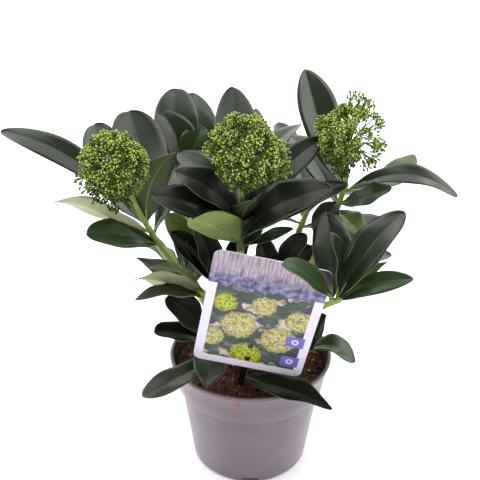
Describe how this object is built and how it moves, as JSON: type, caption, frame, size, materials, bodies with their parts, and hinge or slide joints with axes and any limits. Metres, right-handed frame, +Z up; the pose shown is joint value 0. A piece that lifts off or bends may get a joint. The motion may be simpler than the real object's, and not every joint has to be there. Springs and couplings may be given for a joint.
{
  "type": "potted skimmia",
  "caption": "Evergreen flowering shrub with leathery leaves and domed heads of green buds, growing in a tapered nursery pot with a picture label on a stake.",
  "frame": {"origin": "centre of the pot's flat underside, on the surface that the pot stands on", "axes": "+Z up along the pot's axis, -Y towards the front, where the label stands, +X to the right as seen from the front"},
  "size_m": [0.33, 0.2286, 0.3208],
  "materials": {
    "pot": "satin",
    "growing_medium": "matte",
    "bark": "matte",
    "green_stem": "satin",
    "leaf": "satin",
    "flower_bud": "matte",
    "label_card": "satin",
    "label_stake": "satin"
  },
  "bodies": {
    "root": {"pot": "pot", "growing_medium": "growing_medium", "main_stem": "bark", "bough_left": "green_stem", "bough_centre": "green_stem", "bough_right": "green_stem", "bough_lower_right": "green_stem", "bough_lower_left": "green_stem", "bough_inner_left": "green_stem", "bough_inner_right": "green_stem", "bough_rim_left": "green_stem", "bough_rim_front": "green_stem", "bough_rim_right": "green_stem", "bough_back_left": "green_stem", "bough_back_right": "green_stem", "bough_back": "green_stem", "bough_low_back_left": "green_stem", "bough_low_back_right": "green_stem", "bough_low_back": "green_stem", "leaves_left": "leaf", "leaves_centre": "leaf", "leaves_right": "leaf", "leaves_lower_right": "leaf", "leaves_lower_left": "leaf", "leaves_inner_left": "leaf", "leaves_inner_right": "leaf", "leaves_rim_left": "leaf", "leaves_rim_front": "leaf", "leaves_rim_right": "leaf", "leaves_back_left": "leaf", "leaves_back_right": "leaf", "leaves_back": "leaf", "leaves_low_back_left": "leaf", "leaves_low_back_right": "leaf", "leaves_low_back": "leaf", "flower_head_left": "flower_bud", "flower_head_centre": "flower_bud", "flower_head_right": "flower_bud", "label_card": "label_card", "label_stake": "label_stake"}
  },
  "joints": []
}
